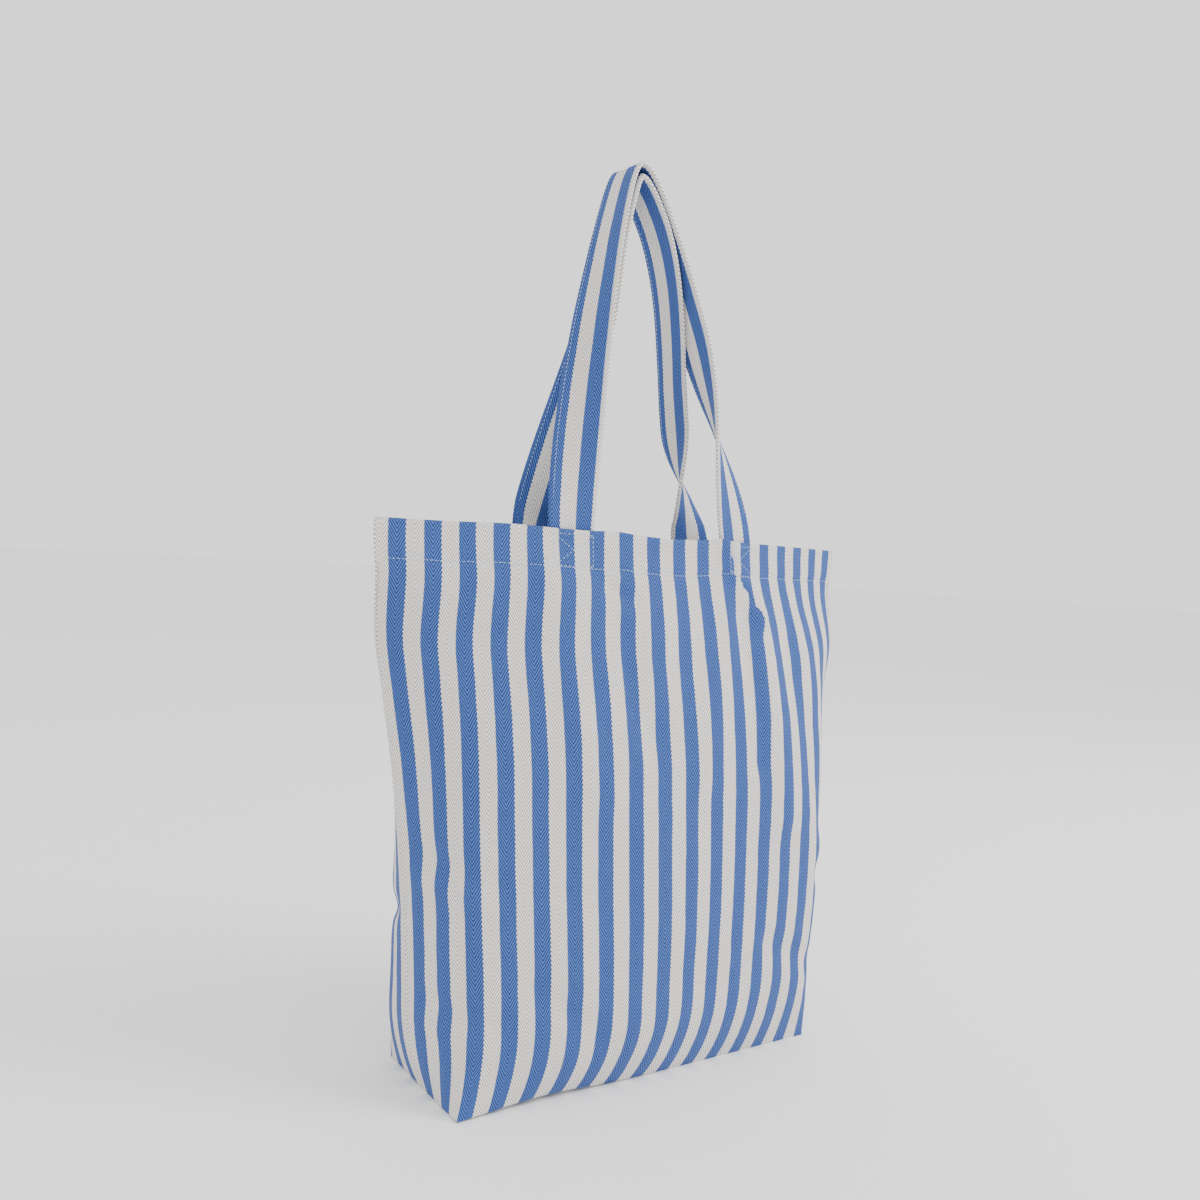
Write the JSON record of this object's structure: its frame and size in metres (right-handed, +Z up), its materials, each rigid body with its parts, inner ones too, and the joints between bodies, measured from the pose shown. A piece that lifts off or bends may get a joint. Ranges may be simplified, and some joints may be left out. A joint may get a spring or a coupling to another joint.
{
  "type": "tote bag",
  "caption": "Striped herringbone cotton tote bag with a boxed base, a turned hem at the rim and two folding shoulder handles.",
  "frame": {"origin": "middle of the flat base, on the floor", "axes": "+X across the bag to its right side seam, -Y out of the front panel, +Z up through the mouth"},
  "size_m": [0.3916, 0.1468, 0.6251],
  "materials": {
    "striped_cloth": "herringbone cotton in 11 mm blue and off-white stripes, matt",
    "strap_cloth": "the same herringbone cotton folded four times and edge stitched, matt",
    "seam_allowance": "overlocked cut edges, matt",
    "sewing_thread": "twisted cotton thread, matt"
  },
  "bodies": {
    "bag": {"front_panel": "striped_cloth", "back_panel": "striped_cloth", "front_hem": "striped_cloth", "back_hem": "striped_cloth", "left_side_seam": "seam_allowance", "right_side_seam": "seam_allowance", "base_seam": "seam_allowance", "left_corner_seam": "seam_allowance", "right_corner_seam": "seam_allowance", "front_handle_ends": "strap_cloth", "back_handle_ends": "strap_cloth", "front_hem_stitching": "sewing_thread", "back_hem_stitching": "sewing_thread", "front_handle_tacks": "sewing_thread", "back_handle_tacks": "sewing_thread"},
    "front_loop": {"front_handle": "strap_cloth", "front_handle_stitching": "sewing_thread"},
    "back_loop": {"back_handle": "strap_cloth", "back_handle_stitching": "sewing_thread"}
  },
  "joints": [
    {"name": "front_handle_swing", "type": "hinge", "parent": "bag", "child": "front_loop", "pos_m": [0, -0.0354, 0.3754], "axis": [1, 0, 0], "range_deg": [0, 165]},
    {"name": "back_handle_swing", "type": "hinge", "parent": "bag", "child": "back_loop", "pos_m": [0, 0.0354, 0.3754], "axis": [1, 0, 0], "range_deg": [-165, 0]}
  ]
}
